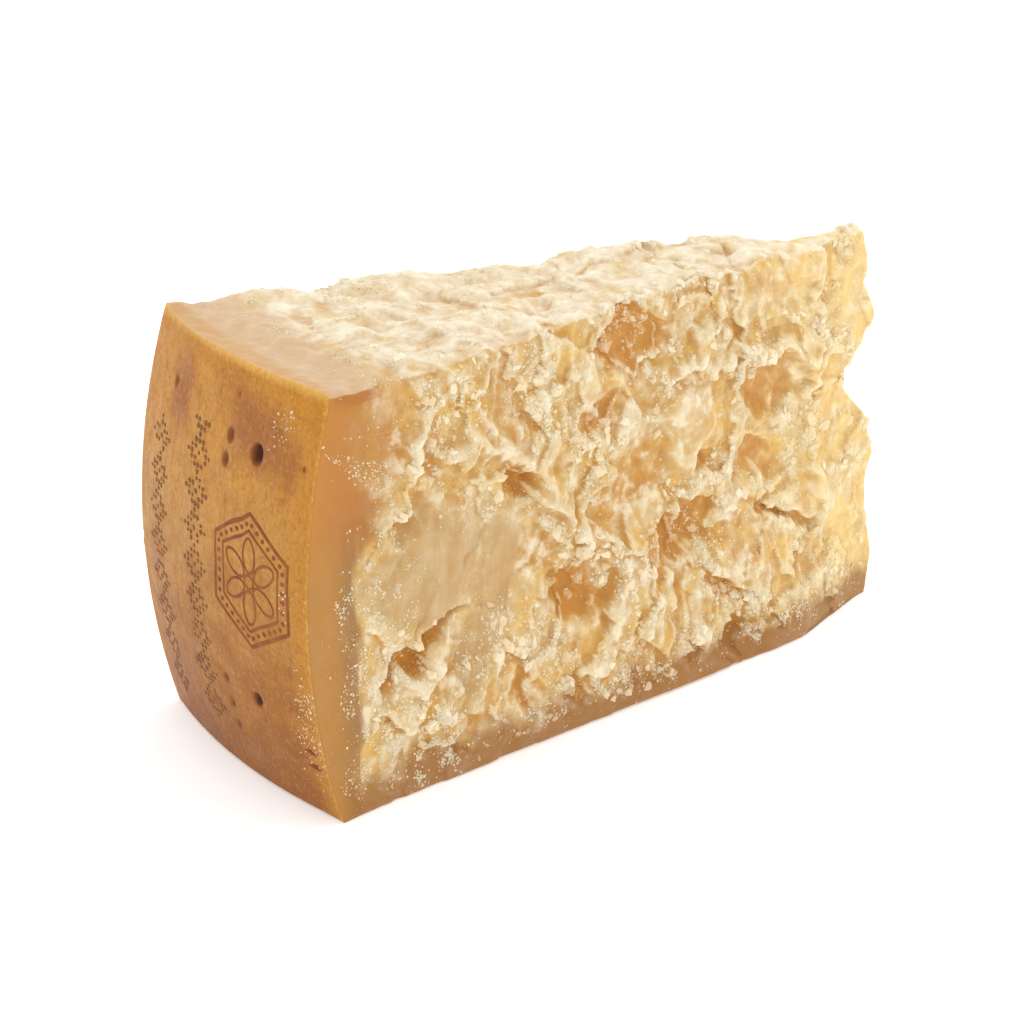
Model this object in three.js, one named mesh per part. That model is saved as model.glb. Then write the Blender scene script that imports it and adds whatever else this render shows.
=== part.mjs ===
// A chunk of hard, long-aged cheese: a wedge split from a drum-shaped wheel, one solid.
// Millimetres, +Z up. The chunk rests on the flat side of the wheel. The rind is at -X, the broken
// point of the wedge at +X, and the near split face looks along -Y.
//
// The wedge is first laid out with its near rind corner at x = 0, y = 0, with smooth sides. Each side
// then gets its crags: broad forms one by one, and small fracture facets by a repeatable rule.

import * as THREE from 'three';
import { mergeVertices } from 'three/addons/utils/BufferGeometryUtils.js';

// ---------------------------------------------------------------- the wedge

const HEIGHT = 125;                 // flat base to the broken top
const FAR_CORNER = [14.5, 89.8];    // plan place of the far rind corner; the near one is at 0, 0
const WEDGE_ANGLE = 24.07 * Math.PI / 180;
const POINT_REACH = 221.5;           // how far the point of the wedge reaches at the base
const POINT_LEAN = 8;               // how much less it reaches at the top
const POINT_WIDTH = 7;              // the broken point is blunt
const POINT_SLANT = 2;              // its far side stands back by this much

const RIND_SAG = 5.2;               // the wheel's round side, over the chord between the rind corners
const BARREL_NEAR = { bulge: 9.8, mid: 62, half: 61.5 };   // how the rind bellies out over its height
const BARREL_FAR = { bulge: 11.4, mid: 58, half: 70 };

const EDGE_REACH = 6;               // a side's crags carry this far round an edge
const EDGE_WEAR = 1.2;              // edges of the top are crumbled back by this much
const SAG_OF_CRAGS = 0.3;           // crags hang down by this share of their height
const FOOT = 14;                    // near the base they stand straight out

const CELLS = { along: 60, across: 12, up: 32 };

// ---------------------------------------------------------------- the crags

// A form is an oval rise or hollow: [name, along, up, half length, half height, turn in degrees, rise,
// share of it that is flat]. A cleft is a groove: [name, start, end, half width, rise].
// On the near and far faces "along" runs from the rind to the point; on the top it is x, and "up" is y.

const NEAR_FORMS = [
  ['lumps under the rim', 37, 121, 10, 7, 0, 2, 0.3],
  ['curtain beside the rind band', 26, 102, 4.5, 18, -12, 4, 0.4],
  ['pit at the foot of the curtain', 24, 85, 7, 5.5, 0, -6, 0.3],
  ['pocket beside the curtain', 35, 97, 5, 7, 0, -4, 0.3],
  ['drape', 62, 94, 15, 5.5, -28, 4, 0.4],
  ['hollow under the drape', 66, 83, 8, 6.5, -20, -7.5, 0.3],
  ['long slanting ridge', 84, 68, 6, 23, 27, 4, 0.35],
  ['smooth slab', 33, 68, 18, 13, 0, 2.5, 0.65],
  ['ledge under the slab', 32, 36, 7, 4.5, 35, 3, 0.5],
  ['deep recess under the rim', 109, 113, 13, 11, -15, -10, 0.4],
  ['recess below it', 97, 94, 9, 6, 0, -6, 0.4],
  ['scoop', 88, 42, 9, 10, -30, -8, 0.45],
  ['ribbed swell', 110, 38, 14, 19, 0, 3.5, 0.4],
  ['small pocket', 68, 18, 5, 6, 0, -4, 0.3],
  ['pocket above the base', 88, 13, 5, 5, 0, -4, 0.3],
  ['flat facet', 113, 73, 11, 11, 0, -3.5, 0.6],
  ['smooth patch', 136, 82, 10, 12, 0, 2, 0.7],
  ['rising ridge', 138, 108, 13, 3.5, 35, 3.5, 0.4],
  ['scalloped shelf', 170, 96, 22, 3.5, -8, 4, 0.4],
  ['hollow under the shelf', 171, 85, 14, 7.5, 0, -8.5, 0.35],
  ['smooth panel', 174, 116, 15, 9, 0, -2.5, 0.75],
  ['upright ridge', 190.5, 96, 3, 34, 0, 4, 0.4],
  ['recess behind the ridge', 197, 112, 6, 13, 0, -3, 0.4],
  ['square hollow', 167, 63, 10, 6.5, 0, -6, 0.55],
  ['pinhole pit', 141, 68, 3.5, 4.5, 0, -4, 0.3],
  ['cave', 135, 48, 11, 8, 0, -8, 0.4],
  ['lip over the cave', 133, 58, 7, 3.5, -10, 3.5, 0.4],
  ['recess beside the cave', 122, 46, 6, 11, 0, -4, 0.4],
  ['lump near the point', 192, 48, 6, 10, 10, 4.5, 0.4],
  ['low hollow near the point', 186, 27, 7, 6.5, 0, -5.5, 0.4],
  ['low hollow', 145, 27, 8, 7.5, 0, -5.5, 0.4],
  ['undercut above the base', 155, 6, 10, 7, 0, -6, 0.4],
  ['pale flake', 46, 100, 4, 7, -25, 2.5, 0.6],
  ['thin flake near the rim', 147, 104.5, 6, 4.5, 0, 2, 0.6],
  ['crumb block', 35, 24, 4.5, 4.5, 0, 2.5, 0.5],
  ['second crumb block', 47, 27, 4.5, 4.5, 0, 2.5, 0.5],
];
const NEAR_CLEFTS = [
  ['long split below the slab', [49, 56], [16, 33], 4, -8],
  ['split beside the lump', [162, 50], [190, 35], 3.5, -7],
  ['short split', [128, 22], [133, 8], 2.5, -4],
];

const FAR_FORMS = [
  ['shoulder', 30, 95, 14, 18, 15, 4, 0.4],
  ['long hollow', 52, 70, 9, 14, -20, -7, 0.4],
  ['low scoop', 35, 40, 16, 11, 10, -5, 0.5],
  ['hollow under the rim', 62, 104, 12, 8, -15, -6, 0.4],
  ['slanting ridge', 80, 82, 7, 24, 20, 4.5, 0.4],
  ['swell', 78, 36, 13, 15, 0, 3.5, 0.5],
  ['cave', 104, 60, 11, 9, -25, -7.5, 0.4],
  ['brow', 110, 100, 15, 9, 10, 3, 0.6],
  ['low hollow', 128, 30, 12, 10, 20, -6, 0.4],
  ['second ridge', 140, 78, 6, 20, -25, 4, 0.4],
  ['pocket under the rim', 150, 108, 10, 8, 0, -4.5, 0.5],
  ['middle pocket', 158, 52, 10, 8, 15, -5, 0.4],
  ['lump', 176, 84, 8, 12, 0, 3, 0.5],
  ['low lump', 178, 28, 9, 10, -15, 3, 0.5],
  ['dent near the point', 196, 60, 7, 9, 0, -2.5, 0.4],
  ['undercut above the base', 96, 12, 12, 6, 0, -4, 0.4],
  ['foot', 20, 14, 10, 6, 0, 2, 0.4],
];
const FAR_CLEFTS = [
  ['falling split', [44, 58], [70, 20], 4, -7],
  ['short split', [118, 92], [134, 56], 3.5, -6],
];

const TOP_FORMS = [
  ['dip along the rind', 10, 40, 9, 60, 0, -1.2, 0.3],
  ['raised far corner', 12, 92, 9, 9, 0, 3, 0.2],
  ['small pit', 27, 6, 5, 4, 0, -3, 0.4],
  ['second pit', 42, 31, 4.5, 4, 0, -2.5, 0.4],
  ['far mound', 36, 82, 11, 10, 0, 1.8, 0.5],
  ['notch', 50, 68, 5, 7, 0, -3, 0.4],
  ['broad far lump', 72, 58, 14, 15, 0, 3.2, 0.6],
  ['gap beside the loose block', 91, 15, 4, 6, -35, -6, 0.4],
  ['block', 102, 22, 9, 6, 30, 2, 0.5],
  ['gap behind the block', 116, 32, 8, 5, 25, -5, 0.4],
  ['far knob', 98, 48, 9, 7, 0, 1.5, 0.5],
  ['high far step', 135, 38, 19, 16, 0, 3.6, 0.6],
  ['high step near the point', 166, 22, 16, 14, 0, 2.6, 0.5],
  ['swell of the middle', 60, 20, 14, 12, 0, 1, 0.5],
  ['swell toward the point', 140, 12, 18, 9, 0, 1.5, 0.5],
  ['point of the top', 203, 4, 9, 9, 0, 1.8, 0.5],
];

// Notches and lumps down the blunt point: [name, height, half height, reach].
const POINT_FORMS = [
  ['deep notch', 78, 12, -12],
  ['wide lump', 50, 6, 3.5],
  ['upper lump', 97, 6, 3],
  ['nick', 109, 3, -2],
  ['foot', 14, 12, 2],
  ['nick in the top', 122, 5, -1.5],
];

const FACET = { side: 14, sideRise: 2.3, top: 13, topRise: 1.2 };   // size and height of small facets
const FACET_STRETCH = 0.8;          // they are taller than wide on the sides
const EDGE_WANDER = 1.6;            // outlines of the crags wander by this much
const BASE_SPREAD = { rise: 9.5, height: 62 };   // the near face leans out towards the base

const RIND_BAND = { low: 8, high: 21, from: 70, to: 96 };   // smooth paste under the rind, near face
const FAR_BAND = [7, 16];
const TOP_BAND = [19, 28];

// ---------------------------------------------------------------- shape of one form

function smooth(from, to, value) {
  const t = Math.min(1, Math.max(0, (value - from) / (to - from)));
  return t * t * (3 - 2 * t);
}

function mix(from, to, share) {
  return from + (to - from) * share;
}

function formRise([, along, up, halfLength, halfHeight, turn, rise, flat], u, v) {
  const angle = turn * Math.PI / 180;
  const across = (u - along) * Math.cos(angle) + (v - up) * Math.sin(angle);
  const upright = -(u - along) * Math.sin(angle) + (v - up) * Math.cos(angle);
  return rise * (1 - smooth(flat, 1.25, Math.hypot(across / halfLength, upright / halfHeight)));
}

function cleftRise([, start, end, halfWidth, rise], u, v) {
  const run = [end[0] - start[0], end[1] - start[1]];
  const way = ((u - start[0]) * run[0] + (v - start[1]) * run[1]) / (run[0] ** 2 + run[1] ** 2);
  const nearest = Math.min(1, Math.max(0, way));
  const away = Math.hypot(u - start[0] - nearest * run[0], v - start[1] - nearest * run[1]);
  return rise * (1 - smooth(0.1, 1, away / halfWidth));
}

function sumOf(list, rise, u, v) {
  return list.reduce((total, item) => total + rise(item, u, v), 0);
}

// ---------------------------------------------------------------- fracture facets

// A repeatable number from 0 to 1 for a cell of space.
function cellNumber(cell, draw) {
  const value = Math.sin(cell[0] * 127.1 + cell[1] * 311.7 + cell[2] * 74.7 + draw * 191.3) * 43758.5453;
  return value - Math.floor(value);
}

// Space is split into rough cells; each gives the surface in it one tilted facet.
function facetRise(place, size, draw) {
  const spot = place.map((value) => value / size);
  const home = spot.map(Math.floor);
  let nearest = Infinity;
  let rise = 0;
  for (let i = -1; i <= 1; i += 1) {
    for (let j = -1; j <= 1; j += 1) {
      for (let k = -1; k <= 1; k += 1) {
        const cell = [home[0] + i, home[1] + j, home[2] + k];
        const offset = spot.map((value, n) => value - cell[n] - 0.15 - 0.7 * cellNumber(cell, draw + n));
        const distance = offset[0] ** 2 + offset[1] ** 2 + offset[2] ** 2;
        if (distance < nearest) {
          nearest = distance;
          const tilts = offset.map((value, n) => value * (2 * cellNumber(cell, draw + 4 + n) - 1));
          rise = 2 * cellNumber(cell, draw + 3) - 1 + 1.5 * (tilts[0] + tilts[1] + tilts[2]);
        }
      }
    }
  }
  return rise;
}

function wander([x, y, z]) {
  return [
    EDGE_WANDER * Math.sin(z / 7.3 + 1.7 * Math.sin(y / 9.1 + x / 17)),
    EDGE_WANDER * Math.sin(x / 8.9 + 1.5 * Math.sin(z / 11.3)),
    EDGE_WANDER * Math.sin(x / 6.7 + 1.9 * Math.sin(z / 8.1 + y / 13)),
  ];
}

// ---------------------------------------------------------------- relief of each side

function footCalm(z) {
  return 0.35 + 0.65 * smooth(4, FOOT, z);
}

function nearRelief(place) {
  const [x, y, z] = place;
  const shift = wander(place);
  const u = x + shift[0];
  const v = z + shift[2];
  const forms = sumOf(NEAR_FORMS, formRise, u, v) + sumOf(NEAR_CLEFTS, cleftRise, u, v);
  const facets = FACET.sideRise * facetRise([u, y, v * FACET_STRETCH], FACET.side, 1);
  const band = mix(RIND_BAND.low, RIND_BAND.high, smooth(RIND_BAND.from, RIND_BAND.to, z));
  const rough = smooth(band - 2, band + 6, x) * footCalm(z);
  const spread = BASE_SPREAD.rise * smooth(-20, 190, x) * (1 - smooth(172, 226, x));
  return (forms + facets) * rough + spread * (1 - smooth(0, BASE_SPREAD.height, z));
}

function farRelief(place) {
  const [x, y, z] = place;
  const along = Math.hypot(x - FAR_CORNER[0], y - FAR_CORNER[1]);
  const shift = wander(place);
  const u = along + shift[1];
  const v = z + shift[2];
  const forms = sumOf(FAR_FORMS, formRise, u, v) + sumOf(FAR_CLEFTS, cleftRise, u, v);
  const facets = FACET.sideRise * facetRise([u, y, v * FACET_STRETCH], FACET.side, 11);
  return (forms + facets) * smooth(FAR_BAND[0], FAR_BAND[1], along) * footCalm(z);
}

function topRelief(place) {
  const [x, y, z] = place;
  const shift = wander(place);
  const u = x + shift[1];
  const v = y + shift[0];
  const facets = FACET.topRise * facetRise([u, v * 0.9, z], FACET.top, 21);
  return sumOf(TOP_FORMS, formRise, u, v) + facets * smooth(TOP_BAND[0], TOP_BAND[1], x - 0.1 * y);
}

// ---------------------------------------------------------------- the smooth wedge

// a runs from the rind to the point, b from the near face to the far one, c from base to top.
function wedgePlace(a, b, c) {
  const z = c * HEIGHT;
  const chord = Math.hypot(FAR_CORNER[0], FAR_CORNER[1]);
  const sag = 4 * RIND_SAG * b * (1 - b);
  const mid = mix(BARREL_NEAR.mid, BARREL_FAR.mid, b);
  const half = mix(BARREL_NEAR.half, BARREL_FAR.half, b);
  const bulge = mix(BARREL_NEAR.bulge, BARREL_FAR.bulge, b) * (1 - ((z - mid) / half) ** 2);
  const facing = b * WEDGE_ANGLE;
  const rind = [
    b * FAR_CORNER[0] - sag * FAR_CORNER[1] / chord - bulge * Math.cos(facing),
    b * FAR_CORNER[1] + sag * FAR_CORNER[0] / chord + bulge * Math.sin(facing),
  ];
  const notches = POINT_FORMS.reduce(
    (total, [, height, halfHeight, reach]) =>
      total + reach * Math.exp(-1.4 * ((z - height) / halfHeight) ** 2),
    0,
  );
  const point = [POINT_REACH - POINT_LEAN * c + notches - POINT_SLANT * b, POINT_WIDTH * b];
  return [mix(rind[0], point[0], a), mix(rind[1], point[1], a), z];
}

const NEAR_OUT = [0, -1, 0];
const FAR_OUT = [Math.sin(WEDGE_ANGLE), Math.cos(WEDGE_ANGLE), 0];
const TOP_OUT = [0, 0, 1];

function edgeShare(distance) {
  return Math.max(0, 1 - distance / EDGE_REACH) ** 2;
}

// Hollows are shallower toward the thin point, where the two faces come close.
function heldBack(rise, x) {
  return rise < 0 ? rise * mix(0.25, 1, smooth(0, 60, POINT_REACH - x)) : rise;
}

function craggedPlace(a, b, c) {
  const place = wedgePlace(a, b, c);
  const thickness = mix(FAR_CORNER[1], POINT_WIDTH, a);
  const onNear = edgeShare(b * thickness);
  const onFar = edgeShare((1 - b) * thickness);
  const onTop = edgeShare((1 - c) * HEIGHT);
  const near = onNear * heldBack(nearRelief(place), place[0]);
  const far = onFar * heldBack(farRelief(place), place[0]);
  const top = onTop * topRelief(place);
  const hang = SAG_OF_CRAGS * smooth(0, FOOT, place[2]) * (1 - onTop);
  const worn = EDGE_WEAR * onTop;
  return place.map((value, n) =>
    value
    + (near - worn * onNear) * NEAR_OUT[n]
    + (far - worn * onFar) * FAR_OUT[n]
    + (top - worn * (onNear + onFar) - hang * (near + far)) * TOP_OUT[n]);
}

// ---------------------------------------------------------------- the solid

// A box of cells gives the sides and the top; each of its points moves to its place on the chunk.
function chunkGeometry() {
  const box = new THREE.BoxGeometry(1, 1, 1, CELLS.along, CELLS.across, CELLS.up);
  const basePart = box.groups[5];   // the box's own flat underside, made anew below
  const walls = Array.from(box.index.array).slice(0, basePart.start);
  box.setIndex(walls);
  box.clearGroups();
  box.deleteAttribute('normal');
  box.deleteAttribute('uv');
  const shell = mergeVertices(box);
  const spots = shell.attributes.position;

  const rim = [];
  for (let n = 0; n < spots.count; n += 1) {
    const a = spots.getX(n) + 0.5;
    const b = spots.getY(n) + 0.5;
    const c = spots.getZ(n) + 0.5;
    const [x, y, z] = craggedPlace(a, b, c);
    spots.setXYZ(n, x, y, c === 0 ? 0 : z);
    if (c === 0) rim.push({ n, turn: rimTurn(a, b) });
  }

  // The flat underside is cut to the outline of the walls' feet.
  rim.sort((one, other) => one.turn - other.turn);
  const outline = rim.map(({ n }) => new THREE.Vector2(spots.getX(n), spots.getY(n)));
  const flat = THREE.ShapeUtils.triangulateShape(outline, [])
    .flatMap(([one, two, three]) => [rim[one].n, rim[three].n, rim[two].n]);
  shell.setIndex([...shell.index.array, ...flat]);
  return shell;
}

// Place of a point on the box's foot, counted once round: near face, point, far face, rind.
function rimTurn(a, b) {
  if (b === 0) return a;
  if (a === 1) return 1 + b;
  if (b === 1) return 3 - a;
  return 4 - b;
}

const cheese = new THREE.MeshStandardMaterial({ color: 0xecd29c, roughness: 0.6, metalness: 0 });
const chunk = new THREE.Mesh(chunkGeometry(), cheese);
chunk.name = 'cheese_chunk';

// The origin is under the middle of the chunk's box, on the surface that it rests on.
chunk.geometry.computeBoundingBox();
const middle = chunk.geometry.boundingBox.getCenter(new THREE.Vector3());
chunk.geometry.translate(-middle.x, -middle.y, 0);
chunk.geometry.computeVertexNormals();

const group = new THREE.Group();
group.add(chunk);

export default group;
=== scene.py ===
"""A chunk of hard, long-aged cheese, finished for its portrait: a wedge split from a drum-shaped
wheel, with its rind, its crags, its crumbs and the marks on its rind. Places are worked out in
millimetres and put into the meshes in metres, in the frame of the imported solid."""

import itertools
import math

import bpy
import numpy as np
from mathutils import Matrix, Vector


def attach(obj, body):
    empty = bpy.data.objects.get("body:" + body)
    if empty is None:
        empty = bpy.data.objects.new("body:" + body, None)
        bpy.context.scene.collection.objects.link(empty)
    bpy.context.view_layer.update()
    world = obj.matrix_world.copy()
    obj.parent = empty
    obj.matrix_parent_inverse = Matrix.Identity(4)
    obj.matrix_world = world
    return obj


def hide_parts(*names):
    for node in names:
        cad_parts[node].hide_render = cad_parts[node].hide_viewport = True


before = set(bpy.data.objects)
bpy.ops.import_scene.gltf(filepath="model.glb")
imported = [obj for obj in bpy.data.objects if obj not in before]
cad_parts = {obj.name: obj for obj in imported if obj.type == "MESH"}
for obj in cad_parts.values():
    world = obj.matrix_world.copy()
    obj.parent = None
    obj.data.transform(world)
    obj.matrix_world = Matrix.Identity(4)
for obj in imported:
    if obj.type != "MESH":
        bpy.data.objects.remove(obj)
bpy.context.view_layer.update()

bpy.ops.object.select_all(action="DESELECT")

# ======================================================================= the chunk itself
# One wedge of pressed, long-aged curd, split off the wheel with a short knife, so its faces are broken
# and not cut. The wheel's own rind closes one end, and the wheel's flat side is the foot that it rests
# on. It is made as a box of fine cells, whose points then move to the bellied rind and the crags.

MM = 0.001
HEIGHT = 125.0                       # flat foot to the broken top
FAR_CORNER = (14.5, 89.8)            # plan place of the far rind corner; the near one is at 0, 0
RIND_WIDTH = math.hypot(*FAR_CORNER)
WEDGE_ANGLE = math.radians(24.07)
POINT_REACH = 221.5                  # how far the point of the wedge reaches at the foot
POINT_LEAN = 8.0                     # how much less it reaches at the top
POINT_WIDTH = 7.0                    # the broken point is blunt
POINT_SLANT = 2.0
RIND_SAG = 5.2                       # the wheel's round side, over the chord between the rind corners
BARREL_NEAR = (9.8, 62.0, 61.5)      # the rind's belly: how far out, middle height, half height
BARREL_FAR = (11.4, 58.0, 70.0)
EDGE_REACH = 6.0                     # a side's crags carry this far round an edge
EDGE_WEAR = 1.2                      # edges of the top are crumbled back by this much
SAG_OF_CRAGS = 0.3                   # crags hang down by this share of their height
FOOT = 14.0                          # near the foot they stand straight out
FINE_CELLS = (430, 120, 250)         # along, across, up: half a millimetre on the broken faces
SOLID_CELLS = (60, 12, 32)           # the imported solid's own cells

# A form is an oval rise or hollow: name, along, up, half length, half height, turn in degrees, rise,
# share of it that is flat. A cleft is a groove: name, start, end, half width, rise.
NEAR_FORMS = [
    ("lumps under the rim", 37, 121, 10, 7, 0, 2, 0.3),
    ("curtain beside the rind band", 26, 102, 4.5, 18, -12, 4, 0.4),
    ("pit at the foot of the curtain", 24, 85, 7, 5.5, 0, -6, 0.3),
    ("pocket beside the curtain", 35, 97, 5, 7, 0, -4, 0.3),
    ("drape", 62, 94, 15, 5.5, -28, 4, 0.4),
    ("hollow under the drape", 66, 83, 8, 6.5, -20, -7.5, 0.3),
    ("long slanting ridge", 84, 68, 6, 23, 27, 4, 0.35),
    ("smooth slab", 33, 68, 18, 13, 0, 2.5, 0.65),
    ("ledge under the slab", 32, 36, 7, 4.5, 35, 3, 0.5),
    ("deep recess under the rim", 109, 113, 13, 11, -15, -10, 0.4),
    ("recess below it", 97, 94, 9, 6, 0, -6, 0.4),
    ("scoop", 88, 42, 9, 10, -30, -8, 0.45),
    ("ribbed swell", 110, 38, 14, 19, 0, 3.5, 0.4),
    ("small pocket", 68, 18, 5, 6, 0, -4, 0.3),
    ("pocket above the base", 88, 13, 5, 5, 0, -4, 0.3),
    ("flat facet", 113, 73, 11, 11, 0, -3.5, 0.6),
    ("smooth patch", 136, 82, 10, 12, 0, 2, 0.7),
    ("rising ridge", 138, 108, 13, 3.5, 35, 3.5, 0.4),
    ("scalloped shelf", 170, 96, 22, 3.5, -8, 4, 0.4),
    ("hollow under the shelf", 171, 85, 14, 7.5, 0, -8.5, 0.35),
    ("smooth panel", 174, 116, 15, 9, 0, -2.5, 0.75),
    ("upright ridge", 190.5, 96, 3, 34, 0, 4, 0.4),
    ("recess behind the ridge", 197, 112, 6, 13, 0, -3, 0.4),
    ("square hollow", 167, 63, 10, 6.5, 0, -6, 0.55),
    ("pinhole pit", 141, 68, 3.5, 4.5, 0, -4, 0.3),
    ("cave", 135, 48, 11, 8, 0, -8, 0.4),
    ("lip over the cave", 133, 58, 7, 3.5, -10, 3.5, 0.4),
    ("recess beside the cave", 122, 46, 6, 11, 0, -4, 0.4),
    ("lump near the point", 192, 48, 6, 10, 10, 4.5, 0.4),
    ("low hollow near the point", 186, 27, 7, 6.5, 0, -5.5, 0.4),
    ("low hollow", 145, 27, 8, 7.5, 0, -5.5, 0.4),
    ("undercut above the base", 155, 6, 10, 7, 0, -6, 0.4),
    ("pale flake", 46, 100, 4, 7, -25, 2.5, 0.6),
    ("thin flake near the rim", 147, 104.5, 6, 4.5, 0, 2, 0.6),
    ("crumb block", 35, 24, 4.5, 4.5, 0, 2.5, 0.5),
    ("second crumb block", 47, 27, 4.5, 4.5, 0, 2.5, 0.5),
]
NEAR_CLEFTS = [
    ("long split below the slab", (49, 56), (16, 33), 4, -8),
    ("split beside the lump", (162, 50), (190, 35), 3.5, -7),
    ("short split", (128, 22), (133, 8), 2.5, -4),
]
FAR_FORMS = [
    ("shoulder", 30, 95, 14, 18, 15, 4, 0.4),
    ("long hollow", 52, 70, 9, 14, -20, -7, 0.4),
    ("low scoop", 35, 40, 16, 11, 10, -5, 0.5),
    ("hollow under the rim", 62, 104, 12, 8, -15, -6, 0.4),
    ("slanting ridge", 80, 82, 7, 24, 20, 4.5, 0.4),
    ("swell", 78, 36, 13, 15, 0, 3.5, 0.5),
    ("cave", 104, 60, 11, 9, -25, -7.5, 0.4),
    ("brow", 110, 100, 15, 9, 10, 3, 0.6),
    ("low hollow", 128, 30, 12, 10, 20, -6, 0.4),
    ("second ridge", 140, 78, 6, 20, -25, 4, 0.4),
    ("pocket under the rim", 150, 108, 10, 8, 0, -4.5, 0.5),
    ("middle pocket", 158, 52, 10, 8, 15, -5, 0.4),
    ("lump", 176, 84, 8, 12, 0, 3, 0.5),
    ("low lump", 178, 28, 9, 10, -15, 3, 0.5),
    ("dent near the point", 196, 60, 7, 9, 0, -2.5, 0.4),
    ("undercut above the base", 96, 12, 12, 6, 0, -4, 0.4),
    ("foot", 20, 14, 10, 6, 0, 2, 0.4),
]
FAR_CLEFTS = [
    ("falling split", (44, 58), (70, 20), 4, -7),
    ("short split", (118, 92), (134, 56), 3.5, -6),
]
TOP_FORMS = [
    ("dip along the rind", 10, 40, 9, 60, 0, -1.2, 0.3),
    ("raised far corner", 12, 92, 9, 9, 0, 3, 0.2),
    ("small pit", 27, 6, 5, 4, 0, -1.5, 0.4),
    ("second pit", 42, 31, 4.5, 4, 0, -1.2, 0.4),
    ("far mound", 36, 82, 11, 10, 0, 1.8, 0.5),
    ("notch", 50, 68, 5, 7, 0, -1.5, 0.4),
    ("broad far lump", 72, 58, 14, 15, 0, 3.2, 0.6),
    ("gap beside the loose block", 91, 15, 4, 6, -35, -3.5, 0.4),
    ("block", 102, 22, 9, 6, 30, 2, 0.5),
    ("gap behind the block", 116, 32, 8, 5, 25, -2.5, 0.4),
    ("far knob", 98, 48, 9, 7, 0, 1.5, 0.5),
    ("high far step", 135, 38, 19, 16, 0, 3.6, 0.6),
    ("high step near the point", 166, 22, 16, 14, 0, 2.6, 0.5),
    ("swell of the middle", 60, 20, 14, 12, 0, 1, 0.5),
    ("swell toward the point", 140, 12, 18, 9, 0, 1.5, 0.5),
    ("point of the top", 203, 4, 9, 9, 0, 1.8, 0.5),
]
# Notches and lumps down the blunt point: name, height, half height, reach.
POINT_FORMS = [
    ("deep notch", 78, 12, -12),
    ("wide lump", 50, 6, 3.5),
    ("upper lump", 97, 6, 3),
    ("nick", 109, 3, -2),
    ("foot", 14, 12, 2),
    ("nick in the top", 122, 5, -1.5),
]
# Places where the paste parted cleanly and stayed smooth: along, up, half length, half height, turn.
NEAR_CALM = [
    (33, 68, 19, 13, 0), (136, 82, 10, 12, 0), (174, 116, 14, 8, 0), (113, 73, 9, 10, 0),
    (167, 63, 9, 6, 0), (170, 85, 12, 6, 0), (60, 66, 8, 12, 0),
]
# Places where the paste tore in upright ribs: along, up, half length, half height, turn.
NEAR_RIBS = [(110, 34, 16, 22, 0), (168, 22, 22, 16, 0), (118, 22, 16, 15, 0), (76, 98, 14, 9, -20)]
RIB_PITCH = 6.2


def smooth(start, stop, value):
    share = np.clip((value - start) / (stop - start), 0.0, 1.0)
    return share * share * (3.0 - 2.0 * share)


def mix(start, stop, share):
    return start + (stop - start) * share


def along_far_face(place):
    """Plan distance from the far rind corner."""
    return np.hypot(place[..., 0] - FAR_CORNER[0], place[..., 1] - FAR_CORNER[1])


def oval(u, v, along, up, half_length, half_height, turn):
    """Distance from the middle of a turned oval, 1 at its outline."""
    angle = math.radians(turn)
    across = (u - along) * math.cos(angle) + (v - up) * math.sin(angle)
    upright = -(u - along) * math.sin(angle) + (v - up) * math.cos(angle)
    return np.hypot(across / half_length, upright / half_height)


def form_rise(form, u, v, fine):
    """A form's rise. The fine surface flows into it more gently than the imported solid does."""
    rise, flat = form[6], form[7]
    start, stop = (0.4 * flat, 1.5) if fine else (flat, 1.25)
    return rise * (1.0 - smooth(start, stop, oval(u, v, *form[1:6])))


def cleft_rise(cleft, u, v, fine):
    """A cleft's rise. In the fine surface it opens and closes along its length."""
    start, end, half_width, rise = cleft[1:]
    run = (end[0] - start[0], end[1] - start[1])
    way = ((u - start[0]) * run[0] + (v - start[1]) * run[1]) / (run[0] ** 2 + run[1] ** 2)
    nearest = np.clip(way, 0.0, 1.0)
    away = np.hypot(u - start[0] - nearest * run[0], v - start[1] - nearest * run[1])
    open_here = smooth(-0.05, 0.45, way) * (1.0 - smooth(0.75, 1.1, way)) if fine else 1.0
    return rise * open_here * (1.0 - smooth(0.1, 1.0, away / half_width))


def forms_rise(forms, clefts, u, v, fine):
    """The rise of all the forms and clefts of a face."""
    return (sum(form_rise(form, u, v, fine) for form in forms)
            + sum(cleft_rise(cleft, u, v, fine) for cleft in clefts))


def patches(ovals, u, v, fade=1.35):
    """1 inside the given ovals, fading to 0 just outside them."""
    return np.max([1.0 - smooth(0.75, fade, oval(u, v, *one)) for one in ovals], axis=0)


def cell_number(cell, draw):
    """A repeatable number from 0 to 1 for a cell of space."""
    value = np.sin(cell[..., 0] * 127.1 + cell[..., 1] * 311.7 + cell[..., 2] * 74.7 + draw * 191.3)
    value = value * 43758.5453
    return value - np.floor(value)


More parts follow.
